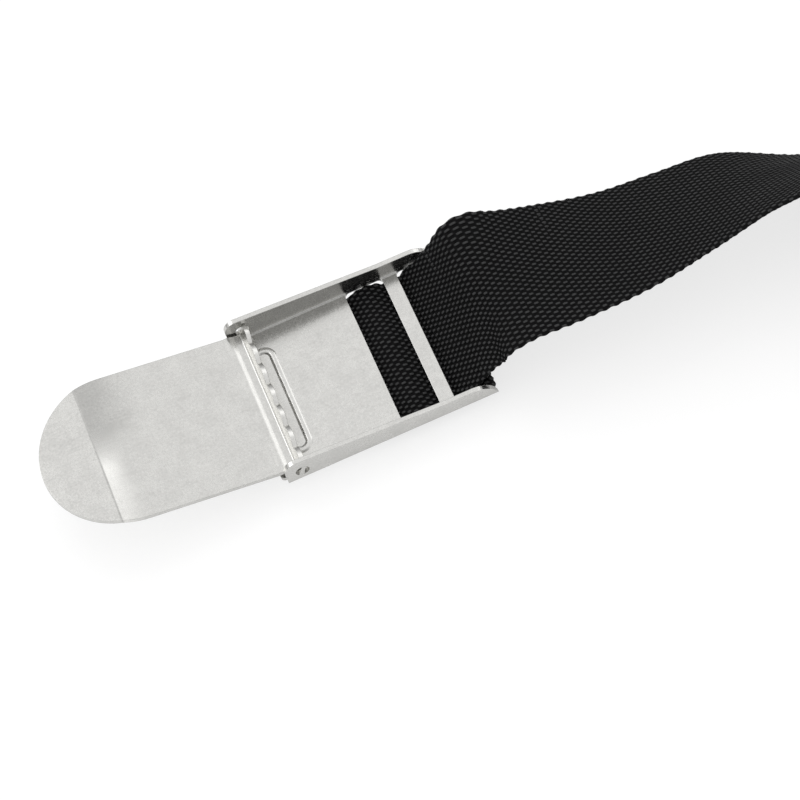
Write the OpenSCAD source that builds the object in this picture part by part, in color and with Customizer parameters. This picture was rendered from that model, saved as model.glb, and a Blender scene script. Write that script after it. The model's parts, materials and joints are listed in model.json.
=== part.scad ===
// Dive weight belt: a quick-release buckle of pressed stainless steel on a nylon strap.
// Frame: +X runs along the belt towards the strap, +Y across it, +Z up, and z = 0 is the
// surface that the belt lies on. The origin is below the middle of the buckle's middle bar.
// The buckle lies open: its lever points to -X.

/* [Webbing] */
// Width of the webbing
web_w = 50; // [38:1:60]
// Thickness of the webbing
web_t = 2; // [1.6:0.1:2.4]
// Whole length of the webbing, from the tail in the buckle to the rolled end
web_len = 1400; // [1100:50:1700]

/* [Buckle frame] */
// Thickness of the frame's sheet
sheet_t = 1.5; // [1.2:0.1:2]
// Room between the webbing's edge and a side wall
web_play = 1.2; // [0.6:0.1:2]
// Inside radius of the bend between the floor and a wall
bend_r = 0.8; // [0.5:0.1:1.5]
// Height of the walls above the floor at the hinge
wall_h_hinge = 9.7; // [8.5:0.1:13]
// Height of the walls above the floor beside the strap slots
wall_h_strap = 6.1; // [4:0.1:8]
// Radius of the walls' rounded strap end
wall_end_r = 7.9; // [6:0.1:10]
// Radius of the walls' upper corner at the hinge end
wall_corner_r = 4; // [2:0.5:5]
// Length of the floor from the pivot to the first slot
floor_len = 33.5; // [28:0.5:50]
// Length of the first strap slot, along the belt
slot1_len = 12.7; // [10:0.1:16]
// Length of the middle bar, along the belt
bar_len = 4.7; // [4:0.1:7]
// Length of the second strap slot, along the belt
slot2_len = 8; // [7.5:0.1:12]
// Length of the end bar, along the belt
end_bar_len = 2.8; // [2.4:0.1:6]
// How far the walls' round end passes the end bar
wall_past_bar = 2.2; // [1:0.1:4]
// Corner radius of the strap slots
slot_corner_r = 1.6; // [0.5:0.1:2.5]
// Distance from the pivot to the walls' hinge end
hinge_overhang = 5.3; // [4:0.1:7]
// How far the floor's lip stands out past the walls
lip_len = 1.6; // [1:0.1:4]

/* [Floor bead] */
// Length of the oval bead, across the belt
bead_len = 40; // [30:1:44]
// Width of the oval bead over its outside, along the belt
bead_w = 8.2; // [6:0.1:12]
// Width of the bead's ridge
bead_ridge_w = 2.4; // [1:0.1:3]
// Height of the bead's ridge
bead_h = 0.45; // [0.3:0.05:0.6]
// Distance from the pivot to the oval's middle
bead_x = 2.7; // [2:0.1:5]

/* [Lever] */
// Thickness of the lever's sheet
lever_t = 1.5; // [1.2:0.1:2]
// Gap between the lever's edge and a side wall
lever_play = 0.6; // [0.4:0.1:1]
// Length of the lever's plate from the pivot to the tip of the thumb tab
lever_len = 73; // [66:1:85]
// Length of the thumb tab, from its crease to its tip
tab_len = 17.4; // [12:0.1:24]
// Angle that the thumb tab is bent by
tab_bend = 11.6; // [0:0.1:20]
// Distance from the pivot's axis to the plate's inner face
plate_drop = 0.9; // [0.5:0.1:1.4]
// Angle between the plate and the toothed flange
flange_angle = 102; // [92:1:110]
// Radius of the bend between the plate and the flange, at mid thickness
flange_bend_r = 1.5; // [1.2:0.1:2]
// Depth of the stiffening groove across the plate
groove_depth = 0.3; // [0:0.1:0.8]
// Distance from the pivot to the groove's middle
groove_at = 5; // [4.6:0.1:9]
// How far the open lever rises above the floor's plane, in degrees
open_rise = 11.6; // [5:0.1:25]

/* [Cam and pivot] */
// Height of the pivot above the frame's floor
pivot_h = 4; // [3.8:0.1:5]
// Gap between the teeth and the bead when the lever is closed
tooth_gap = 0.35; // [0.3:0.05:0.8]
// Number of teeth on the flange
tooth_count = 7; // [5:2:9]
// Distance between two teeth
tooth_pitch = 8; // [6:0.5:10]
// Radius of each rounded tooth
tooth_r = 7.3; // [6:0.1:9]
// Radius of the pivot holes in the walls
pivot_hole_r = 2.2; // [1.8:0.1:2.6]
// Radial clearance of the lever's pivot tabs in their holes
pivot_play = 0.06; // [0.02:0.01:0.1]

/* [Hidden] */
$fn = 96;
steel = [0.84, 0.84, 0.82];
lever_steel = [0.80, 0.80, 0.79];
black = [0.05, 0.05, 0.055];

// Clearances
web_gap = 0.2;   // webbing to steel
lay_gap = 0.15;  // one layer of webbing to the next
seam_gap = 0.2;  // where one stretch of the strap meets the next
over = 1;        // how far a cutter passes the face that it cuts

// The buckle's own frame: x = 0 at the pivot, z = 0 on the floor's upper face.
inner_w = web_w + 2 * web_play;
outer_w = inner_w + 2 * sheet_t;
slot1_x = floor_len;
bar_x = slot1_x + slot1_len;
slot2_x = bar_x + bar_len;
end_bar_x = slot2_x + slot2_len;
bar_end_x = end_bar_x + end_bar_len;
frame_end_x = bar_end_x + wall_past_bar;
origin_x = bar_x + bar_len / 2;
under1_z = -sheet_t - web_gap - web_t / 2;
under2_z = under1_z - web_t - lay_gap;
rest_z = under2_z - web_t / 2;

function arc(c, r, a0, a1, n = 10) =
    [for (i = [0:n]) c + r * [cos(a0 + (a1 - a0) * i / n), sin(a0 + (a1 - a0) * i / n)]];
function unit(v) = v / norm(v);
function left_of(v) = [-v.y, v.x];

// Puts what is drawn in the buckle's own frame into the belt's frame.
module in_buckle() {
    translate([-origin_x, 0, -rest_z]) children();
}

// Stands an outline drawn in (x, z) upright and gives it a width across the belt.
module across(width) {
    rotate([90, 0, 0]) linear_extrude(width, center = true) children();
}

// ---- Buckle frame ----

module rounded_square(x0, x1, y0, y1, r) {
    translate([x0 + r, y0]) square([x1 - x0 - 2 * r, y1 - y0]);
    translate([x0, y0 + r]) square([x1 - x0, y1 - y0 - 2 * r]);
    for (x = [x0 + r, x1 - r], y = [y0 + r, y1 - r]) translate([x, y]) circle(r);
}

// The channel's section across the belt, with its two bends.
module channel_section() {
    outer_r = bend_r + sheet_t;
    tall = wall_h_hinge + sheet_t + 2 * outer_r;
    difference() {
        rounded_square(-outer_w / 2, outer_w / 2, -sheet_t, tall, outer_r);
        rounded_square(-inner_w / 2, inner_w / 2, 0, tall + outer_r, bend_r);
    }
}

// The channel's outline from the side: it tapers towards the strap and ends round.
module side_outline() {
    end_c = [frame_end_x - wall_end_r, wall_h_strap - wall_end_r];
    taper_end = slot2_x - bar_len;
    polygon(concat(
        [[-hinge_overhang, -sheet_t - over]],
        arc([-hinge_overhang + wall_corner_r, wall_h_hinge - wall_corner_r], wall_corner_r, 180, 90),
        [[taper_end, wall_h_strap]],
        arc(end_c, wall_end_r, 90, asin((-sheet_t - end_c.y) / wall_end_r), 14),
        [[frame_end_x, -sheet_t - over]]
    ));
}

module slot_cut(x, length) {
    reach = inner_w / 2 + web_gap;
    translate([0, 0, -sheet_t - over])
        linear_extrude(sheet_t + over + bend_r + web_gap)
            rounded_square(x, x + length, -reach, reach, slot_corner_r);
}

module floor_lip() {
    half = inner_w / 2 - bend_r;
    corner_share = 0.8;
    r = lip_len * corner_share;
    translate([0, 0, -sheet_t]) linear_extrude(sheet_t)
        rounded_square(-hinge_overhang - lip_len, 0, -half, half, r);
}

// A raised obround ridge on the floor below the teeth.
module floor_bead() {
    ring_r = (bead_w - bead_ridge_w) / 2;
    half = bead_len / 2 - bead_w / 2;
    sink = 0.2;
    ridge_r = (pow(bead_ridge_w / 2, 2) + pow(bead_h, 2)) / (2 * bead_h);
    module ridge() {
        intersection() {
            translate([0, bead_h - ridge_r]) circle(ridge_r);
            translate([-bead_ridge_w / 2, -sink]) square([bead_ridge_w, bead_h + sink]);
        }
    }
    translate([bead_x, 0, 0]) {
        for (side = [-1, 1]) {
            translate([side * ring_r, 0, 0])
                rotate([90, 0, 0]) linear_extrude(2 * half, center = true) ridge();
            translate([0, side * half, 0]) rotate([0, 0, side > 0 ? 0 : 180])
                rotate_extrude(angle = 180) translate([ring_r, 0]) ridge();
        }
    }
}

module buckle_frame() {
    color(steel) in_buckle() difference() {
        union() {
            intersection() {
                rotate([90, 0, 90])
                    translate([0, 0, -hinge_overhang - over])
                        linear_extrude(hinge_overhang + frame_end_x + 2 * over) channel_section();
                across(outer_w + 2 * over) side_outline();
            }
            floor_lip();
            floor_bead();
        }
        slot_cut(slot1_x, slot1_len);
        slot_cut(slot2_x, slot2_len);
        slot_cut(bar_end_x, wall_past_bar + 2 * slot_corner_r);
        translate([0, 0, pivot_h]) rotate([90, 0, 0])
            cylinder(r = pivot_hole_r, h = outer_w + 2 * over, center = true);
    }
}

// ---- Cam lever ----
// Its own frame: x along the plate away from the pivot, z towards the plate's inner face.

lever_w = inner_w - 2 * lever_play;
plate_mid = -plate_drop - lever_t / 2;
cam_r = pivot_h - bead_h - tooth_gap;
crease_x = lever_len - tab_len;
tip_c_x = lever_len - lever_w / 2;
pivot_r = pivot_hole_r - pivot_play;
tab_coining = 0.1;
flange_dir = [cos(flange_angle), sin(flange_angle)];
flange_foot = flange_dir * (plate_mid / sin(flange_angle));
tab_dir = [cos(tab_bend), -sin(tab_bend)];
// Where the bend's arc starts on the plate and its centre.
bend_back = flange_bend_r / tan(flange_angle / 2);
bend_c = flange_foot + [bend_back, flange_bend_r];

// A smooth step of the plate's middle line, up to groove_depth at the groove's middle.
groove_half = 1.9;
function groove_line(x) =
    groove_depth * pow(cos(90 * min(1, abs(x - groove_at) / groove_half)), 2);
// The middle line of the bent sheet, from the thumb tab's tip to the flange's teeth.
lever_line = concat(
    [[crease_x, plate_mid] + tab_dir * (tab_len + over)],
    [[crease_x, plate_mid]],
    [for (i = [-8:8]) let (x = groove_at - groove_half * i / 8) [x, plate_mid + groove_line(x)]],
    arc(bend_c, flange_bend_r, -90, flange_angle - 270, 10),
    [flange_dir * (cam_r + over)]
);

// A line moved sideways by d, with its corners mitred.
function offset_line(p, d) = [for (i = [0:len(p) - 1])
    let (a = i == 0 ? unit(p[1] - p[0]) : unit(p[i] - p[i - 1]),
         b = i == len(p) - 1 ? a : unit(p[i + 1] - p[i]),
         m = unit(a + b))
    p[i] + left_of(m) * d / (m * a)];

// The outline of a sheet of even thickness along a middle line.
module sheet_outline(line, thickness) {
    back = offset_line(line, -thickness / 2);
    polygon(concat(
        offset_line(line, thickness / 2),
        [for (i = [len(back) - 1:-1:0]) back[i]]
    ));
}

// The plate's plan: straight sides and a half-round tip.
module lever_plan() {
    back = cam_r + lever_t;
    translate([-back, -lever_w / 2]) square([tip_c_x + back, lever_w]);
    translate([tip_c_x, 0]) circle(lever_w / 2);
}

// Rounded teeth side by side, whose tips lie at cam_r from the pivot's axis.
module tooth_plan() {
    half = (tooth_count - 1) / 2;
    gullet = 1.5;
    intersection() {
        translate([-lever_w / 2, -cam_r]) square([lever_w, 3 * cam_r]);
        union() {
            translate([-lever_w / 2, -cam_r]) square([lever_w, 2 * cam_r - gullet]);
            for (i = [-half:half]) translate([i * tooth_pitch, cam_r - tooth_r]) circle(tooth_r);
        }
    }
}

// Space filled by the teeth, and by all of the plate's side of the flange.
module tooth_space() {
    deep = 4 * cam_r;
    rotate([0, 90 - flange_angle, 0]) rotate([90, 0, 90])
        linear_extrude(deep, center = true) tooth_plan();
    translate([flange_foot.x + flange_bend_r, -lever_w / 2, -deep])
        cube([lever_len + over, lever_w, 2 * deep]);
}

// Flat tabs at the flange's ends that turn in the walls' holes. They are coined a little
// thinner than the sheet, and their two ends are round.
module pivot_tabs() {
    root = 0.5;
    reach = (outer_w - lever_w) / 2 + root;
    for (side = [-1, 1]) intersection() {
        translate([0, side * (outer_w - reach) / 2, 0])
            rotate([90, 0, 0]) cylinder(r = pivot_r, h = reach, center = true);
        rotate([0, 90 - flange_angle, 0])
            cube([lever_t - tab_coining, outer_w + over, 4 * pivot_r], center = true);
    }
}

module cam_lever() {
    color(lever_steel) in_buckle() translate([0, 0, pivot_h])
        rotate([0, open_rise, 0]) mirror([1, 0, 0]) {
            intersection() {
                across(lever_w) sheet_outline(lever_line, lever_t);
                translate([0, 0, -lever_len / 2]) linear_extrude(lever_len) lever_plan();
                tooth_space();
            }
            pivot_tabs();
        }
}

// ---- Webbing ----

// Drops each point that lies on the one before it.
function distinct(p) = [for (i = [0:len(p) - 1]) if (i == 0 || norm(p[i] - p[i - 1]) > 0.001) p[i]];
// A path with its corners rounded: each entry is [x, z, radius].
function rounded_path(p) = distinct([for (i = [0:len(p) - 1])
    let (c = [p[i][0], p[i][1]], r = p[i][2])
    each (i == 0 || i == len(p) - 1 || r == 0) ? [c] :
        let (a = unit([p[i - 1][0], p[i - 1][1]] - c),
             b = unit([p[i + 1][0], p[i + 1][1]] - c),
             half = acos(max(-1, min(1, a * b))) / 2,
             m = c + unit(a + b) * r / sin(half),
             s = c + a * r / tan(half) - m,
             e = c + b * r / tan(half) - m,
             a0 = atan2(s.y, s.x),
             turn = atan2(s.x * e.y - s.y * e.x, s * e))
        arc(m, r, a0, a0 + turn, 8)]);

// The threaded stretch, in the buckle's own frame. It comes in above the end bar, goes down
// the second slot and under the middle bar, shows in the first slot, folds back under itself,
// and wraps up round the end bar, where its tail ends below the strap that leaves.
top1_z = web_gap + web_t / 2;
wrap_r = (top1_z - under1_z) / 2;
wrap_slack = 0.35;
wrap_x = bar_end_x + web_gap + web_t / 2 + wrap_slack;
fold_back = 6.5;
fold_x = slot1_x - fold_back;
fold_r = (under1_z - under2_z) / 2;
// The bulge of the strap in the first slot, and how far it rises and falls within the slot.
bulge_z = 0.1 - web_t / 2;
bulge_run = 4.3;
soft_r = 3;      // corner radius where the strap bends freely
slot_lead = 1.3; // how far inside the slot's edge the strap comes down
edge_lead = 0.6; // how far past a bar's edge the strap starts to lift
lift_from = 2.2; // past the middle bar, where the lower layer starts to rise
lift_to = 1.2;   // before the end bar, where it has risen
// The free end rises straight from the second slot.
rise_angle = 45.5;
rise_len = 15.35;
rise_dir = [cos(rise_angle), sin(rise_angle)];
rise_foot = [slot2_x + slot_lead, under1_z];
rise_end = rise_foot + rise_len * rise_dir;
// The tail stops where its upper corner would meet the rising strap.
tail_top = top1_z + web_t / 2 - under1_z;
tail_x = rise_foot.x + (web_t / 2 + lay_gap + tail_top * rise_dir.x) / rise_dir.y;
loop_path = rounded_path([
    [rise_end.x, rise_end.y, 0],
    [rise_foot.x, rise_foot.y, soft_r],
    [bar_x - edge_lead, under1_z, soft_r],
    [bar_x - edge_lead - bulge_run, bulge_z, soft_r],
    [slot1_x + edge_lead + bulge_run, bulge_z, soft_r],
    [slot1_x + edge_lead, under1_z, soft_r],
    [fold_x, under1_z, fold_r],
    [fold_x, under2_z, fold_r],
    [slot2_x + lift_from, under2_z, soft_r],
    [end_bar_x - lift_to, under1_z, soft_r],
    [wrap_x, under1_z, wrap_r],
    [wrap_x, top1_z, wrap_r],
    [tail_x, top1_z, 0]
]);

module strap_loop() {
    color(black) in_buckle() across(web_w) sheet_outline(loop_path, web_t);
}

// The free strap's route from the buckle to the roll. Each row is the distance past the
// buckle's end, the distance to the far side, the height of the strap's lower edge above the
// surface, and the strap's roll about its length: at 90 degrees it stands on its far edge.
lie = [
    [6.1, -0.4, 22.7, -4.9],
    [16, -2.2, 21.7, 4.2],
    [31.1, -4.2, 18.8, 10.4],
    [51.1, -5.5, 14.3, 18.2],
    [71.1, -5.5, 12.4, 25.1],
    [91.1, -6.4, 11.7, 32.7],
    [111.1, -10.2, 6.2, 46.4],
    [131.1, -13.3, 2.4, 70],
    [145.1, -14, 0.2, 89],
    [158.1, -14, 0, 90],
    [164.1, -14, 0, 90]
];
// How strongly the strap keeps its direction where it leaves its threaded stretch.
rise_pull = 7;
// The middle of the strap [x, y, z] in the buckle's own frame, and its roll. The first entry
// only makes the strap leave square to its threaded stretch.
lie_points = [for (p = lie)
    [frame_end_x + p[0], p[1], rest_z + p[2] + web_w / 2 * sin(p[3]), p[3]]];
route = concat(
    [lie_points[0] - 2 * rise_pull * [rise_dir.x, 0, rise_dir.y, 0]],
    [[rise_end.x, 0, rise_end.y, 0]],
    lie_points
);
rise_first = 1;
run_first = 4;
run_last = 11;
steps = 6;

function curve_at(i, t) =
    let (a = route[i - 1], b = route[i], c = route[i + 1], d = route[i + 2])
    0.5 * (2 * b + (c - a) * t + (2 * a - 5 * b + 4 * c - d) * t * t
        + (3 * b - a - 3 * c + d) * t * t * t);
function xyz(p) = [p[0], p[1], p[2]];
// The ring of a strap's four corners at a place on the route.
function ring_at(i, t) =
    let (here = curve_at(i, t),
         ahead = unit(xyz(curve_at(i, t + 0.01)) - xyz(curve_at(i, t - 0.01))),
         flat = [0, cos(here[3]), -sin(here[3])],
         wide = unit(flat - (flat * ahead) * ahead),
         up = cross(ahead, wide))
    [for (c = [[-1, -1], [1, -1], [1, 1], [-1, 1]])
        xyz(here) + wide * c[0] * web_w / 2 + up * c[1] * web_t / 2];

// The strap between two entries of the route, as one closed ribbon.
module ribbon(first, last) {
    trim = seam_gap / norm(xyz(route[first + 1]) - xyz(route[first]));
    places = [for (i = [first:last - 1], k = [0:steps - 1])
        [i, i == first && k == 0 ? trim : k / steps]];
    rings = concat([for (p = places) ring_at(p[0], p[1])], [ring_at(last - 1, 1)]);
    n = len(rings);
    polyhedron(
        points = [for (r = rings) each r],
        faces = concat(
            [[0, 1, 2], [0, 2, 3]],
            [for (i = [0:n - 2], k = [0:3])
                each [[4 * i + k, 4 * i + 4 + k, 4 * i + 4 + (k + 1) % 4],
                      [4 * i + k, 4 * i + 4 + (k + 1) % 4, 4 * i + (k + 1) % 4]]],
            [[4 * n - 4, 4 * n - 2, 4 * n - 3], [4 * n - 4, 4 * n - 1, 4 * n - 2]]
        )
    );
}

module strap_rise() {
    color(black) in_buckle() ribbon(rise_first, run_first);
}

module strap_run() {
    color(black) in_buckle() ribbon(run_first, run_last);
}

// The rest of the strap, wound into a roll that stands on its edge.
roll_core_r = 3.5;
roll_pitch = web_t + 0.1;
shown_len = 260;
roll_r = sqrt(pow(roll_core_r, 2) + (web_len - shown_len) * roll_pitch / PI);
roll_start = route[run_last];

module strap_roll() {
    color(black) in_buckle()
        translate([roll_start[0], roll_start[1] - web_t / 2 - lay_gap - roll_r, rest_z])
            difference() {
                cylinder(r = roll_r, h = web_w);
                translate([0, 0, -over]) cylinder(r = roll_core_r, h = web_w + 2 * over);
            }
}

buckle_frame();
cam_lever();
strap_loop();
strap_rise();
strap_run();
strap_roll();
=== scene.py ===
"""Dive weight belt: finishes the steel cam buckle and weaves its nylon strap.

Run as a script. Everything is in metres, in the belt's own frame: +X along the belt from the
buckle towards the strap, +Y across it, +Z up, and z = 0 is the surface that it lies on.
"""

import json
import math

import bpy
import numpy as np
from bpy.props import FloatProperty, FloatVectorProperty, PointerProperty
from mathutils import Matrix, Vector


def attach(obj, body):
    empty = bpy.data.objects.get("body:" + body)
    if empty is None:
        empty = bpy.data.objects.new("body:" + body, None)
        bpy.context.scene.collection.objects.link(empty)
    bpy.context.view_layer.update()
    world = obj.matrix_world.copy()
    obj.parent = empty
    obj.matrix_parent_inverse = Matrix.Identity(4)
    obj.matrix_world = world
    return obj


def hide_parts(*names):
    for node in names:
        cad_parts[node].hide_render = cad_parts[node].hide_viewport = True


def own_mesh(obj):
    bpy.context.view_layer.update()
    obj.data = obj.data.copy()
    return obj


bl_info = {
    "name": "Dive Weight Belt",
    "version": (1, 0, 0),
    "blender": (4, 5, 0),
    "location": "View3D > Sidebar > Weight Belt",
    "description": "Finishes a steel cam buckle and weaves the nylon strap threaded through it",
    "category": "Object",
}

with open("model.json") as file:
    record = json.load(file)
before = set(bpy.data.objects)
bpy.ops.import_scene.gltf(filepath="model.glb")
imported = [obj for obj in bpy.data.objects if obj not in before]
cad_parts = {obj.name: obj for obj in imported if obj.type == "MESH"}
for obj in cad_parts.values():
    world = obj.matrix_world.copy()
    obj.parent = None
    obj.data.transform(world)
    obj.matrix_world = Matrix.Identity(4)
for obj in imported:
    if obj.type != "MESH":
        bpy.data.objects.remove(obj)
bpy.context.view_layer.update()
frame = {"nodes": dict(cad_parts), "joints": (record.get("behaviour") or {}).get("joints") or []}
HINGE = frame["joints"][0]
PIVOT = Vector(HINGE["pos_m"])
MM = 0.001


# ---- Sizes and colours that a user would change ----


class BELT_PG_webbing(bpy.types.PropertyGroup):
    """The nylon strap and its weave."""

    width: FloatProperty(
        name="Width", description="Width of the webbing",
        default=0.050, unit="LENGTH",
    )
    thickness: FloatProperty(
        name="Thickness", description="Thickness of the webbing over its crowns",
        default=0.002, unit="LENGTH",
    )
    pick: FloatProperty(
        name="Weave pitch", description="Distance along the strap between two crowns of a yarn",
        default=0.0034, unit="LENGTH",
    )
    yarn: FloatProperty(
        name="Yarn pitch", description="Distance across the strap between two neighbouring yarns",
        default=0.00096, unit="LENGTH",
    )
    relief: FloatProperty(
        name="Relief", description="How far a crown stands above the strap's mean face",
        default=0.00030, unit="LENGTH",
    )
    scallop: FloatProperty(
        name="Scallop", description="How far the filling yarn's turns stand out at the edges",
        default=0.00042, unit="LENGTH",
    )
    crown_color: FloatVectorProperty(
        name="Crown colour", description="Colour of the yarns where they come to the face",
        default=(0.046, 0.046, 0.047), size=3, subtype="COLOR",
    )
    # Painted shade: this near-black colour stands in for the shade that falls in the gaps between the
    # yarns.
    valley_painted_shade: FloatVectorProperty(
        name="Valley colour", description="Colour between the yarns",
        default=(0.001, 0.001, 0.0012), size=3, subtype="COLOR",
    )


class BELT_PG_steel(bpy.types.PropertyGroup):
    """The finish of the two stainless pressings."""

    frame_color: FloatVectorProperty(
        name="Frame colour", description="Reflection colour of the buckle's frame",
        default=(0.66, 0.655, 0.635), size=3, subtype="COLOR",
    )
    lever_color: FloatVectorProperty(
        name="Lever colour", description="Reflection colour of the lever",
        default=(0.65, 0.645, 0.625), size=3, subtype="COLOR",
    )
    roughness: FloatProperty(
        name="Roughness", description="Roughness of the tumbled sheet",
        default=0.26, min=0, max=1, subtype="FACTOR",
    )
    edge_radius: FloatProperty(
        name="Edge radius", description="Radius that tumbling leaves on the sheet's edges",
        default=0.00022, unit="LENGTH",
    )


class BELT_PG_stage(bpy.types.PropertyGroup):
    """Floor, light and camera."""

    floor_color: FloatVectorProperty(
        name="Floor colour", description="Colour of the floor",
        default=(0.86, 0.86, 0.86), size=3, subtype="COLOR",
    )
    key_power: FloatProperty(
        name="Key power", description="Power of the large soft lamp behind the belt",
        default=3.0, unit="POWER",
    )
    focal_length: FloatProperty(
        name="Focal length", description="Focal length on a 36 mm wide sensor, in millimetres",
        default=112.86,
    )


# ---- Meshes ----


def put_mesh(name, points, quads, smooth, uv=None, shading=None, **values):
    """Makes an object from an (n, 3) array of points and an (m, 4) array of corner numbers.

    smooth says for each face whether it is shaded smoothly, uv is one pair for each point,
    shading one normal for each face's corner, and each further array a value on the points.
    """
    mesh = bpy.data.meshes.new(name)
    mesh.vertices.add(len(points))
    mesh.vertices.foreach_set("co", points.astype(np.float32).ravel())
    mesh.loops.add(quads.size)
    mesh.loops.foreach_set("vertex_index", quads.astype(np.int32).ravel())
    mesh.polygons.add(len(quads))
    mesh.polygons.foreach_set("loop_start", np.arange(0, quads.size, 4, dtype=np.int32))
    mesh.polygons.foreach_set("use_smooth", smooth)
    if uv is not None:
        layer = mesh.uv_layers.new(name="weave")
        layer.data.foreach_set("uv", uv[quads.ravel()].astype(np.float32).ravel())
    for key, value in values.items():
        attribute = mesh.attributes.new(key, "FLOAT", "POINT")
        attribute.data.foreach_set("value", value.astype(np.float32).ravel())
    mesh.update()
    mesh.validate()
    if shading is not None:
        mesh.normals_split_custom_set(shading.tolist())
    piece = bpy.data.objects.new(name, mesh)
    bpy.context.scene.collection.objects.link(piece)
    return piece


# ---- The strap's line ----


def unit(vectors):
    """Each row divided by its length."""
    return vectors / np.linalg.norm(vectors, axis=-1, keepdims=True)


def rounded_path(corners):
    """A path in (x, z) with its corners rounded; each corner is (x, z, radius).

    A rounded corner is the arc that touches both sides: its centre lies on the corner's
    bisector at radius / sin(half angle), and it starts and ends radius / tan(half angle) away.
    """
    spots = np.array(corners, float)
    path = [spots[:1, :2]]
    for before, here, after in zip(spots[:-2], spots[1:-1], spots[2:]):
        a = unit(before[:2] - here[:2])
        b = unit(after[:2] - here[:2])
        half = math.acos(max(-1.0, min(1.0, float(a @ b)))) / 2
        centre = here[:2] + unit(a + b) * here[2] / math.sin(half)
        start = here[:2] + a * here[2] / math.tan(half) - centre
        end = here[:2] + b * here[2] / math.tan(half) - centre
        first = math.atan2(start[1], start[0])
        turn = math.atan2(start[0] * end[1] - start[1] * end[0], float(start @ end))
        angle = first + turn * np.linspace(0, 1, 24)
        path.append(centre + here[2] * np.stack([np.cos(angle), np.sin(angle)], 1))
    path.append(spots[-1:, :2])
    path = np.concatenate(path)
    keep = np.append(True, np.linalg.norm(np.diff(path, axis=0), axis=1) > 1e-4)
    return path[keep]


def spline(knots, count):
    """Points on the smooth curve through the knots, count to each stretch.

    Between two knots b and c, with a before and d after them, the point at t is half of
    2b + (c - a)t + (2a - 5b + 4c - d)t^2 + (3b - a - 3c + d)t^3.
    """
    a, b, c, d = (knots[i:len(knots) - 3 + i, None, :] for i in range(4))
    t = (np.arange(count) / count)[None, :, None]
    square = (2 * a - 5 * b + 4 * c - d) * t ** 2
    cube = (3 * b - a - 3 * c + d) * t ** 3
    points = (2 * b + (c - a) * t + square + cube) / 2
    return np.concatenate([points.reshape(-1, knots.shape[1]), knots[-2:-1]])


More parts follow.
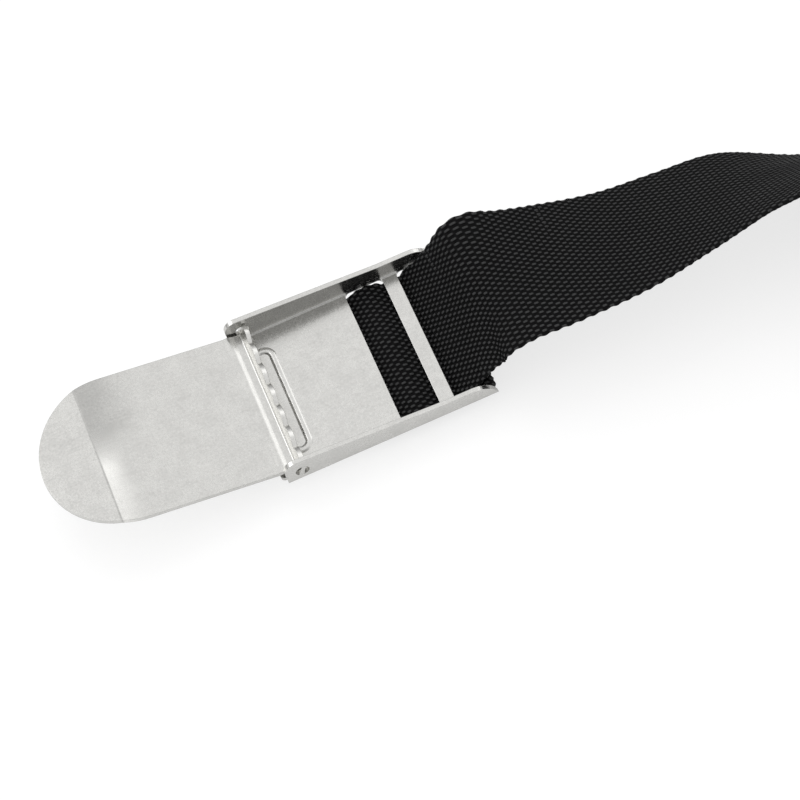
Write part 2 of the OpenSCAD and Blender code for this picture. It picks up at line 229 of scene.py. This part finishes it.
class StrapLine:
    """The middle line of the whole strap, in millimetres in the buckle's frame.

    distance is 0 where the strap leaves the buckle, less than 0 in the threaded loop and more
    than 0 along the free run and the roll. roll is the turn about the line: at 90 degrees the
    strap stands on its far edge.
    """

    web_t = 2.0
    web_w = 50.0
    floor_len = 33.5
    slot1_len = 12.7
    bar_len = 4.7
    slot2_len = 8.0
    end_bar_len = 2.8
    wall_past_bar = 2.2
    sheet_t = 1.5
    pivot_h = 4.0
    web_gap = 0.2
    lay_gap = 0.15

    def __init__(self):
        slot1 = self.floor_len
        bar = slot1 + self.slot1_len
        slot2 = bar + self.bar_len
        end_bar = slot2 + self.slot2_len
        bar_end = end_bar + self.end_bar_len
        frame_end = bar_end + self.wall_past_bar
        under1 = -self.sheet_t - self.web_gap - self.web_t / 2
        under2 = under1 - self.web_t - self.lay_gap
        rest_z = under2 - self.web_t / 2
        top1 = self.web_gap + self.web_t / 2
        wrap = bar_end + self.web_gap + self.web_t / 2 + 0.35
        wrap_r = (top1 - under1) / 2
        fold = slot1 - 6.5
        fold_r = (under1 - under2) / 2
        bulge = 0.1 - self.web_t / 2
        leave = math.radians(45.5)
        rise = np.array([math.cos(leave), 0, math.sin(leave)])
        foot = np.array([slot2 + 1.3, 0, under1])
        self.rise_end = foot + 15.35 * rise
        tail_top = top1 + self.web_t / 2 - under1
        tail = foot[0] + (self.web_t / 2 + self.lay_gap + tail_top * rise[0]) / rise[2]
        loop = rounded_path([
            (tail, top1, 0),
            (wrap, top1, wrap_r),
            (wrap, under1, wrap_r),
            (end_bar - 1.2, under1, 3),
            (slot2 + 2.2, under2, 3),
            (fold, under2, fold_r),
            (fold, under1, fold_r),
            (slot1 + 0.6, under1, 3),
            (slot1 + 4.9, bulge, 3),
            (bar - 4.9, bulge, 3),
            (bar - 0.6, under1, 3),
            (foot[0], under1, 3),
            (self.rise_end[0], self.rise_end[2], 0),
        ])
        # Distance past the buckle's end, distance to the far side, height of the lower edge
        # above the surface, and roll.
        lie = np.array([
            (6.1, -0.4, 22.7, -4.9),
            (16, -2.2, 21.7, 4.2),
            (31.1, -4.2, 18.8, 10.4),
            (51.1, -5.5, 14.3, 18.2),
            (71.1, -5.5, 12.4, 25.1),
            (91.1, -6.4, 11.7, 32.7),
            (111.1, -10.2, 6.2, 46.4),
            (131.1, -13.3, 2.4, 70),
            (145.1, -14, 0.2, 89),
            (158.1, -14, 0, 90),
            (164.1, -14, 0, 90),
        ])
        knots = lie.copy()
        knots[:, 0] += frame_end
        knots[:, 2] += rest_z + self.web_w / 2 * np.sin(np.radians(lie[:, 3]))
        start = np.append(self.rise_end, 0)
        lead = knots[0] - 14 * np.append(rise, 0)
        run = spline(np.vstack([lead, start, knots]), 40)
        still = np.zeros(len(loop) - 1)
        before = np.stack([loop[:-1, 0], still, loop[:-1, 1], still], 1)
        spiral = self.spiral(run[-1])
        line = np.concatenate([before, run, spiral[1:]])
        steps = np.linalg.norm(np.diff(line[:, :3], axis=0), axis=1)
        far = np.append(0, np.cumsum(steps))
        self.far = far - far[len(before)]
        self.line = line
        self.rest_z = rest_z
        self.roll_from = self.far[len(before) + len(run) - 1]
        at = np.argmin(np.abs(run[:, 0] - knots[2, 0]))
        self.rise_to = self.far[len(before) + at]
        self.rise_stop = run[at, :3]
        self.slope = knots[2, 3]
        self.slots_to = end_bar - 2

    def spiral(self, start):
        """The roll: r = r0 - pitch * turn, wound towards the near side from where it starts."""
        pitch = self.web_t + 0.1
        inner = 3.5 + self.web_t / 2
        outer = math.sqrt(inner ** 2 + 1140 * pitch / math.pi)
        turns = (outer - inner) / pitch
        turn = np.linspace(0, turns, int(turns * 160))
        angle = math.pi / 2 - 2 * math.pi * turn
        radius = outer - pitch * turn
        x = start[0] + radius * np.cos(angle)
        y = start[1] - outer + radius * np.sin(angle)
        return np.stack([x, y, np.full_like(x, start[2]), np.full_like(x, 90.0)], 1)

    def at(self, distance):
        """Place, direction across and upward direction at each distance along the strap."""
        def place(d):
            return np.stack([np.interp(d, self.far, self.line[:, k]) for k in range(3)], 1)

        roll = np.radians(np.interp(distance, self.far, self.line[:, 3]))
        near = np.clip(distance, self.far[0] + 0.35, self.far[-1] - 0.35)
        ahead = unit(place(near + 0.35) - place(near - 0.35))
        flat = np.stack([0 * roll, np.cos(roll), -np.sin(roll)], 1)
        across = unit(flat - (flat * ahead).sum(1, keepdims=True) * ahead)
        return place(distance), across, np.cross(ahead, across)


    def fullness(self, distance, middle):
        """How far the threaded strap spreads on each side, and how full its edge's turns are.

        It spreads where it shows in a slot, and is drawn in where it lies below the buckle.
        """
        threaded = (distance < 0) * 1.0
        height = middle[:, 2]
        shown = np.clip((height + 2.66) / 0.5, 0, 1) * np.clip((2.4 - height) / 2.5, 0, 1)
        below = np.clip((-2.8 - height) / 0.5, 0, 1)
        spread = (0.5 + 0.5 * shown) * (middle[:, 0] < self.slots_to) * (height < 2.4)
        spread = np.where(below > 0, -0.7 * below, spread * np.clip((2.4 - height) / 2.5, 0, 1))
        return threaded * spread, 1 - threaded * below


def in_metres(points):
    """Moves points from the buckle's frame, in millimetres, into the belt's, in metres."""
    origin = np.array([PIVOT.x, PIVOT.y, PIVOT.z - StrapLine.pivot_h * MM])
    return points * MM + origin


LINE = StrapLine()


def woven_strap(name, start, stop, step, fine, settings, tuck=0.0):
    """A stretch of the woven strap from one distance to another, both in millimetres.

    The crowns of the warp yarns follow cos(2 pi s / pick) * cos(pi y / yarn), where s is the
    distance along the strap, slanted a little across it, and y the distance from its middle.
    A crown of the upper face lies over a valley of the lower one. Each edge stands out by the
    scallops of the filling yarn's turns, one to each pitch. fine is the spacing across. One
    ring beyond each end is worked out too, so that the shading runs on into the next stretch.
    tuck lengthens both ends, a little slimmer, into the neighbouring stretches, so that no
    crack opens there when this one is pressed down.
    """
    start, stop = start - tuck, stop + tuck
    width, thick = settings.width / MM, settings.thickness / MM
    pick, yarn = settings.pick / MM, settings.yarn / MM
    relief, scallop = settings.relief / MM, settings.scallop / MM
    rows = max(2, int(round((stop - start) / step)) + 1)
    step = (stop - start) / (rows - 1)
    distance = start + step * np.arange(-1, rows + 1)
    middle, across, up = LINE.at(distance)
    spread, fringe = LINE.fullness(distance, middle)
    count = int(round(width / fine)) + 1
    share = np.linspace(-1, 1, count)
    # One ring: the upper face from near to far, round the far edge, the lower face back.
    edge = np.radians([60, 20, -20, -60])
    bulge = 1 + 0.35 * np.cos(edge) / (width / 2)
    side = np.concatenate([np.ones(count), np.sin(edge), -np.ones(count), np.sin(-edge)])
    along_v = np.concatenate([share, bulge, share[::-1], -bulge])
    face = np.concatenate([np.ones(count), np.sign(edge), -np.ones(count), -np.sign(edge)])
    s, v = np.meshgrid(distance, along_v, indexing="ij")
    scallop = scallop * fringe[:, None]
    reach = width / 2 - settings.scallop / MM + spread[:, None]
    turn = 2 * math.pi * s / pick
    lean = 0.5 + 0.5 * np.cos(turn + np.where(v > 0, 0.0, math.pi))
    y = v * (reach + scallop * lean * np.clip((np.abs(v) - 0.93) / 0.07, 0, 1) ** 1.5)
    slant = 0.15 * y
    crown = np.cos(2 * math.pi * (s + slant) / pick) * np.cos(math.pi * y / yarn) * face
    shoulder = np.clip((np.abs(y) - reach + 0.9) / 1.3, 0, 1)
    plump = np.sqrt(1 - 0.75 * shoulder ** 2)
    height = side * ((thick / 2 - relief) * plump + relief * crown * (1 - 0.5 * shoulder))
    def laid(y, height):
        return middle[:, None] + across[:, None] * y[..., None] + up[:, None] * height[..., None]

    points = laid(y, height)
    ahead = points[2:] - points[:-2]
    around = np.roll(points, -1, axis=1) - np.roll(points, 1, axis=1)
    normals = unit(np.cross(ahead, around[1:-1])).reshape(-1, 3)
    if tuck:
        slim = (s < start + tuck - 0.01) | (s > stop - tuck + 0.01)
        points = laid(y - 0.45 * v * slim, height * (1 - 0.25 * slim))
    points, s, y = points[1:-1], s[1:-1], y[1:-1]
    ring = s.shape[1]
    first = np.arange(rows - 1)[:, None] * ring
    here = np.arange(ring)[None, :]
    there = (here + 1) % ring
    walls = np.stack(
        [first + ring + here, first + ring + there, first + there, first + here], -1
    ).reshape(-1, 4)
    left = np.arange(ring // 2 - 1)
    right = ring - 1 - left
    order = (np.arange(ring) - len(edge)) % ring
    cap = np.stack([order[left], order[right], order[right - 1], order[left + 1]], 1)
    quads = np.concatenate([walls, cap[:, ::-1], cap + (rows - 1) * ring])
    uv = np.stack([(s + 0.15 * y) / pick, y / yarn], -1).reshape(-1, 2)
    shading = normals[quads.ravel()].reshape(-1, 4, 3)
    for part, row in ((slice(len(walls), -len(cap)), 1), (slice(-len(cap), None), -2)):
        tangent = unit(middle[row + 1] - middle[row - 1]) * (1 if row < 0 else -1)
        shading[part] = tangent
    return put_mesh(
        name, in_metres(points.reshape(-1, 3)), quads, np.ones(len(quads), bool), uv,
        shading.reshape(-1, 3), face=np.tile(face, rows),
    )


# ---- Shader nodes ----


class Value:
    """A socket that takes part in Python expressions; an expression adds Math nodes."""

    def __init__(self, nodes, socket):
        self.nodes = nodes
        self.socket = socket

    def _math(self, operation, *terms):
        return self.nodes.add(
            "ShaderNodeMath", {"operation": operation}, dict(enumerate(terms))
        )

    def __add__(self, other):
        return self._math("ADD", self, other)

    def __radd__(self, other):
        return self._math("ADD", other, self)

    def __sub__(self, other):
        return self._math("SUBTRACT", self, other)

    def __rsub__(self, other):
        return self._math("SUBTRACT", other, self)

    def __mul__(self, other):
        return self._math("MULTIPLY", self, other)

    def __rmul__(self, other):
        return self._math("MULTIPLY", other, self)

    def __truediv__(self, other):
        return self._math("DIVIDE", self, other)

    def __pow__(self, other):
        return self._math("POWER", self, other)

    def fade(self, low, high):
        """0 at low and below, 1 at high and above, and smooth between."""
        return self.nodes.add(
            "ShaderNodeMapRange", {"interpolation_type": "SMOOTHSTEP"},
            {"Value": self, "From Min": low, "From Max": high},
        )

    def at_most(self, limit):
        return self._math("MINIMUM", self, limit)

    def sine(self):
        return self._math("SINE", self)

    def cosine(self):
        return self._math("COSINE", self)

    def bell(self, middle, width):
        """1 at the middle, falling smoothly to 0 at width to either side."""
        return 1 - self._math("ABSOLUTE", self - middle).fade(0, width)


SEEN_RAYS = ("Is Camera Ray", "Is Glossy Ray", "Is Transmission Ray")


class Nodes:
    """The nodes of one material or world."""

    def __init__(self, owner):
        owner.use_nodes = True
        self.tree = owner.node_tree
        self.tree.nodes.clear()

    def add(self, kind, settings=None, inputs=None, output=0):
        """Adds a node with its settings, then its sockets' values or links, and returns one
        of its outputs as a Value."""
        node = self.tree.nodes.new(kind)
        for key, value in (settings or {}).items():
            if key == "stops":
                self.set_stops(node.color_ramp, value)
            else:
                setattr(node, key, value)
        for key, value in (inputs or {}).items():
            if isinstance(value, Value):
                self.tree.links.new(value.socket, node.inputs[key])
            else:
                node.inputs[key].default_value = value
        return Value(self, node.outputs[output]) if len(node.outputs) else node

    @staticmethod
    def set_stops(ramp, stops):
        while len(ramp.elements) < len(stops):
            ramp.elements.new(0.5)
        for element, (position, color) in zip(ramp.elements, stops):
            element.position = position
            element.color = color

    def mix(self, factor, a, b):
        """Colour a where factor is 0 and b where it is 1."""
        return self.add(
            "ShaderNodeMix", {"data_type": "RGBA"}, {"Factor": factor, 6: a, 7: b}, output=2
        )

    def noise(self, vector, scale, detail=3.0, rough=0.55):
        return self.add(
            "ShaderNodeTexNoise", None,
            {"Vector": vector, "Scale": scale, "Detail": detail, "Roughness": rough},
        )

    def seen(self, mirrored=1.0):
        """1 for what the camera sees, mirrored for what metal or glass shows, 0 for the light."""
        light = self.add("ShaderNodeLightPath").socket.node
        direct, glossy, through = (Value(self, light.outputs[kind]) for kind in SEEN_RAYS)
        return (direct + (glossy + through) * mirrored).at_most(1)

    def split(self, vector):
        node = self.add("ShaderNodeSeparateXYZ", None, {"Vector": vector}).socket.node
        return [Value(self, socket) for socket in node.outputs]

    def stretch(self, vector, scale, turn=(0.0, 0.0, 0.0)):
        return self.add(
            "ShaderNodeMapping", None, {"Vector": vector, "Scale": scale, "Rotation": turn}
        )


def rgba(color, times=1.0):
    return tuple(min(1.0, c * times) for c in color) + (1.0,)


def steel_material(name, color, settings, lever):
    """Tumbled stainless sheet: fine grain, faint clouds and rolling lines, and a painted highlight
    along the edges.
    """
    material = bpy.data.materials.new(name)
    nodes = Nodes(material)
    place = nodes.add("ShaderNodeTexCoord", output=3)
    clouds = nodes.noise(place, 170, 4, 0.6) - 0.5
    grain = nodes.noise(place, 1300, 3, 0.7) - 0.5
    lines = nodes.noise(nodes.stretch(place, (60, 1400, 60)), 1, 2, 0.5) - 0.5
    rounded = nodes.add(
        "ShaderNodeBevel", {"samples": 6}, {"Radius": settings.edge_radius}
    )
    true_normal = nodes.add("ShaderNodeNewGeometry", output=3)
    facing = nodes.add(
        "ShaderNodeVectorMath", {"operation": "DOT_PRODUCT"}, {0: rounded, 1: true_normal}, output=1
    )
    # edge is 1 on the rounded edges, where the bevelled normal turns away from the true one.
    edge = (1 - facing).fade(0.01, 0.16)
    tone = 1 + 0.24 * clouds + 0.42 * grain + 0.08 * lines
    # On the lever the tone also carries painted shade and a painted highlight beside the crease.
    if lever:
        tone = tone * crease_painted_light(nodes, place, grain)
    plain = nodes.add("ShaderNodeCombineColor", None, {0: tone, 1: tone, 2: tone})
    tinted = nodes.add(
        "ShaderNodeMix", {"data_type": "RGBA", "blend_type": "MULTIPLY"},
        {"Factor": 1.0, 6: plain, 7: rgba(color)}, output=2,
    )
    # Painted highlight: the colour is lifted towards near white along the edges, by half on the frame
    # and less on the lever.
    base = nodes.mix(edge * (0.15 if lever else 0.5), tinted, (0.97, 0.97, 0.95, 1))
    rough = settings.roughness + 0.16 * clouds + 0.14 * grain
    dents = grain * 0.000012 + clouds * 0.00005
    bump = nodes.add(
        "ShaderNodeBump", None, {"Strength": 1.0, "Distance": 1.0, "Height": dents, "Normal": rounded}
    )
    shader = nodes.add(
        "ShaderNodeBsdfPrincipled", None,
        {"Base Color": base, "Metallic": 1.0, "Roughness": rough, "Normal": bump},
    )
    nodes.add("ShaderNodeOutputMaterial", None, {"Surface": shader})
    return material


def crease_painted_light(nodes, place, grain):
    """Painted light beside the thumb tab's crease: painted shade at the far side, a painted highlight
    at the near one, and a thin line of painted shade along the crease.
    """
    x, y, _ = nodes.split(place)
    past = x - (PIVOT.x - 0.0545) + 0.004 * grain
    plate = (x - (PIVOT.x - 0.0545)).fade(-0.0001, 0.0003)
    # Painted shade on the plate at the far side of the crease.
    painted_far_shade = plate * (1 - past.fade(0.002, 0.019)) * (y + 0.01 * grain).fade(-0.002, 0.010)
    near = 1 - (y + 0.01 * grain).fade(-0.006, 0.001)
    # Painted highlight on the plate at the near side of the crease.
    painted_near_highlight = plate * (1 - past.fade(0.0005, 0.008)) * near * (0.55 + 0.45 * y.fade(-0.022, -0.006))
    # Painted shade: a thin dark line along the crease.
    line = (x - (PIVOT.x - 0.0547)).bell(0, 0.0005)
    return 1 - 0.25 * painted_far_shade + 0.42 * painted_near_highlight - 0.22 * line


def web_material(settings):
    """Black nylon: filaments on each crown, painted shade in the gaps between the yarns and stray
    dust.
    """
    material = bpy.data.materials.new("black_nylon_webbing")
    nodes = Nodes(material)
    weave = nodes.add("ShaderNodeUVMap", {"uv_map": "weave"})
    face = nodes.add("ShaderNodeAttribute", {"attribute_name": "face"}, output=2)
    along, across, _ = nodes.split(weave)
    bar = (across * math.pi).cosine()
    crown = (along * (2 * math.pi)).cosine() * bar * (1.5 - 0.5 * bar * bar) * face
    place = nodes.add("ShaderNodeTexCoord", output=3)
    drift = nodes.noise(place, 90, 3)
    speck = nodes.noise(place, 2600, 2)
    filament = (across * 31.0 + along * 6.0).sine()
    # The colour runs from the crown colour on each crown down to painted shade in the gaps between
    # the yarns.
    lift = crown.fade(0.12, 0.74)
    tone = lift * (0.55 + 0.50 * drift + 0.34 * speck + 0.08 * filament)
    base = nodes.mix(tone, rgba(settings.valley_painted_shade), rgba(settings.crown_color))
    rough = 0.62 - 0.14 * lift + 0.12 * speck
    height = crown.fade(-0.3, 0.95) * 0.00016 + (filament * 0.000012 + speck * 0.00002) * lift
    bump = nodes.add("ShaderNodeBump", None, {"Strength": 0.8, "Distance": 1.0, "Height": height})
    shader = nodes.add(
        "ShaderNodeBsdfPrincipled", None,
        {
            "Base Color": base, "Roughness": rough, "Normal": bump,
            "Specular IOR Level": 0.12,
        },
    )
    nodes.add("ShaderNodeOutputMaterial", None, {"Surface": shader})
    return material


# ---- Operators ----


class BELT_OT_steel(bpy.types.Operator):
    """Gives the buckle's frame and lever their tumbled stainless finish"""

    bl_idname = "belt.steel"
    bl_label = "Steel Buckle"

    def execute(self, context):
        settings = context.scene.belt_steel
        for node, color in (
            ("buckle_frame", settings.frame_color), ("cam_lever", settings.lever_color)
        ):
            lever = node == "cam_lever"
            material = steel_material(node + "_steel", color, settings, lever)
            mesh = frame["nodes"][node].data
            mesh.materials.clear()
            mesh.materials.append(material)
        return {"FINISHED"}


def dress(context, piece, node):
    """Gives a strap piece the webbing's material and body in place of its CAD node."""
    name = "black_nylon_webbing"
    material = bpy.data.materials.get(name) or web_material(context.scene.belt_webbing)
    piece.data.materials.append(material)
    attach(piece, "frame")
    if node:
        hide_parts(node)


class BELT_OT_loop(bpy.types.Operator):
    """Weaves the stretch of strap that is threaded round the buckle's bars"""

    bl_idname = "belt.loop"
    bl_label = "Threaded Loop"

    def execute(self, context):
        settings = context.scene.belt_webbing
        piece = woven_strap("threaded_loop", LINE.far[0], 0.0, 0.40, 0.32, settings)
        dress(context, piece, "strap_loop")
        return {"FINISHED"}


class BELT_OT_rise(bpy.types.Operator):
    """Weaves the stretch that the closing thumb tab presses down"""

    bl_idname = "belt.rise"
    bl_label = "Rising Stretch"

    def execute(self, context):
        settings = context.scene.belt_webbing
        piece = woven_strap("rising_stretch", 0.0, LINE.rise_to, 0.36, 0.32, settings, 1.8)
        dress(context, piece, "strap_rise")
        # The point midway between both ends is worked out, and the piece gets a mesh of its own.
        start, stop = LINE.rise_end, LINE.rise_stop
        anchor = in_metres((start + stop) / 2)
        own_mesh(piece)
        return {"FINISHED"}


class BELT_OT_run(bpy.types.Operator):
    """Weaves the loose run of the strap, which turns onto its edge"""

    bl_idname = "belt.run"
    bl_label = "Loose Run"

    def execute(self, context):
        settings = context.scene.belt_webbing
        piece = woven_strap("loose_run", LINE.rise_to, LINE.roll_from, 0.42, 0.32, settings)
        dress(context, piece, "strap_run")
        return {"FINISHED"}


class BELT_OT_roll(bpy.types.Operator):
    """Winds the rest of the strap into a roll that stands on its edge"""

    bl_idname = "belt.roll"
    bl_label = "Rolled End"

    def execute(self, context):
        settings = context.scene.belt_webbing
        outer = LINE.roll_from + 178
        face = woven_strap("roll_outer_turn", LINE.roll_from, outer, 0.55, 0.40, settings)
        dress(context, face, "strap_roll")
        core = woven_strap("roll_inner_turns", outer, LINE.far[-1], 0.85, 1.9, settings)
        dress(context, core, None)
        return {"FINISHED"}


class BELT_OT_stage(bpy.types.Operator):
    """Lays the floor, hangs the soft lamps and sets the camera"""

    bl_idname = "belt.stage"
    bl_label = "Studio Stage"

    def execute(self, context):
        settings = context.scene.belt_stage
        self.floor(settings)
        self.world(context.scene)
        self.lamps(context.scene, settings)
        self.camera(context.scene, settings)
        context.scene.view_settings.view_transform = "Standard"
        return {"FINISHED"}

    def floor(self, settings):
        """A flat square of 4 m."""
        half = 2.0
        corners = np.array([[-half, -half], [half, -half], [half, half], [-half, half]])
        points = np.hstack([corners, np.full((4, 1), -0.0004)])
        floor = put_mesh("floor", points, np.array([[0, 1, 2, 3]]), np.zeros(1, bool))
        material = bpy.data.materials.new("floor_paper")
        nodes = Nodes(material)
        paper = nodes.add("ShaderNodeBsdfDiffuse", None, {"Color": rgba(settings.floor_color)})
        pale = nodes.add("ShaderNodeBsdfDiffuse", None, {"Color": (0.32, 0.32, 0.32, 1)})
        white = nodes.add("ShaderNodeEmission", None, {"Color": (1, 1, 1, 1), "Strength": 0.72})
        shown = nodes.add("ShaderNodeAddShader", None, {0: pale, 1: white})
        both = nodes.add("ShaderNodeMixShader", None, {0: nodes.seen(0.4), 1: paper, 2: shown})
        nodes.add("ShaderNodeOutputMaterial", None, {"Surface": both})
        floor.data.materials.append(material)

    def world(self, scene):
        """A white room, with a dim patch where one stands; its light comes a little from behind."""
        world = bpy.data.worlds.new("pale_room")
        scene.world = world
        nodes = Nodes(world)
        direction = nodes.add("ShaderNodeTexCoord", output=0)

        def towards(x, y, z):
            return nodes.add(
                "ShaderNodeVectorMath", {"operation": "DOT_PRODUCT"},
                {0: direction, 1: Vector((x, y, z)).normalized()}, output=1,
            )

        behind = towards(0.05, 0.50, 0.86).fade(0.35, 0.98)
        stand = towards(-0.04, -0.52, 0.85).fade(0.78, 0.97)
        low = 1 - towards(0, 0, 1).fade(0.05, 0.62)
        left = towards(-0.52, 0.47, 0.71).fade(0.95, 0.99)
        right = towards(0.70, 0.48, 0.53).fade(0.955, 0.995)
        light = nodes.add("ShaderNodeLightPath").socket.node
        direct = Value(nodes, light.outputs["Is Camera Ray"])
        room = 1 - 0.62 * stand - 0.60 * low + 1.6 * left + 0.8 * right
        seen = nodes.seen()
        mirrored = seen * (1 - direct) * room
        strength = direct + mirrored + (1 - seen) * (0.80 + 0.22 * behind)
        sky = nodes.add(
            "ShaderNodeBackground", None, {"Color": (1, 1, 1, 1), "Strength": strength}
        )
        nodes.add("ShaderNodeOutputWorld", None, {"Surface": sky})

    def lamps(self, scene, settings):
        for name, place, size, power in (
            ("key_lamp", (0.10, 0.75, 1.10), 0.9, settings.key_power),
            ("side_lamp", (-1.0, -0.1, 0.7), 0.6, settings.key_power * 0.35),
        ):
            lamp = bpy.data.lights.new(name, "AREA")
            lamp.size = size
            lamp.energy = power
            holder = bpy.data.objects.new(name, lamp)
            holder.location = place
            holder.visible_glossy = False
            aim = Vector((0.02, 0, 0.01)) - Vector(place)
            holder.rotation_euler = aim.to_track_quat("-Z", "Y").to_euler()
            scene.collection.objects.link(holder)

    def camera(self, scene, settings):
        camera = bpy.data.cameras.new("camera")
        camera.sensor_width = 36.0
        camera.lens = settings.focal_length
        camera.clip_start = 0.01
        holder = bpy.data.objects.new("camera", camera)
        right = Vector((0.91575, -0.36645, -0.16467))
        down = Vector((-0.39996, -0.79302, -0.45952))
        ahead = Vector((0.03780, 0.48666, -0.87277))
        turn = Matrix((right, -down, -ahead)).transposed().to_4x4()
        holder.matrix_world = Matrix.Translation((-0.04179, -0.38716, 0.67045)) @ turn
        scene.collection.objects.link(holder)
        scene.camera = holder


class BELT_PT_panel(bpy.types.Panel):
    """Lists the belt's pieces and their sizes"""

    bl_idname = "BELT_PT_panel"
    bl_label = "Dive Weight Belt"
    bl_space_type = "VIEW_3D"
    bl_region_type = "UI"
    bl_category = "Weight Belt"

    def draw(self, context):
        for step in STEPS:
            self.layout.operator(step.bl_idname)
        for key in GROUPS:
            box = self.layout.box()
            settings = getattr(context.scene, key)
            for name in settings.bl_rna.properties.keys():
                if name not in ("rna_type", "name"):
                    box.prop(settings, name)


STEPS = (BELT_OT_stage, BELT_OT_steel, BELT_OT_loop, BELT_OT_rise, BELT_OT_run, BELT_OT_roll)
GROUPS = {
    "belt_webbing": BELT_PG_webbing,
    "belt_steel": BELT_PG_steel,
    "belt_stage": BELT_PG_stage,
}


def register():
    for kind in (*GROUPS.values(), *STEPS, BELT_PT_panel):
        bpy.utils.register_class(kind)
    for key, kind in GROUPS.items():
        setattr(bpy.types.Scene, key, PointerProperty(type=kind))


def unregister():
    for key in GROUPS:
        delattr(bpy.types.Scene, key)
    for kind in reversed((*GROUPS.values(), *STEPS, BELT_PT_panel)):
        bpy.utils.unregister_class(kind)


def main():
    register()
    bpy.ops.belt.stage()
    bpy.ops.belt.steel()
    bpy.ops.belt.loop()
    bpy.ops.belt.rise()
    bpy.ops.belt.run()
    bpy.ops.belt.roll()


if __name__ == "__main__":
    main()
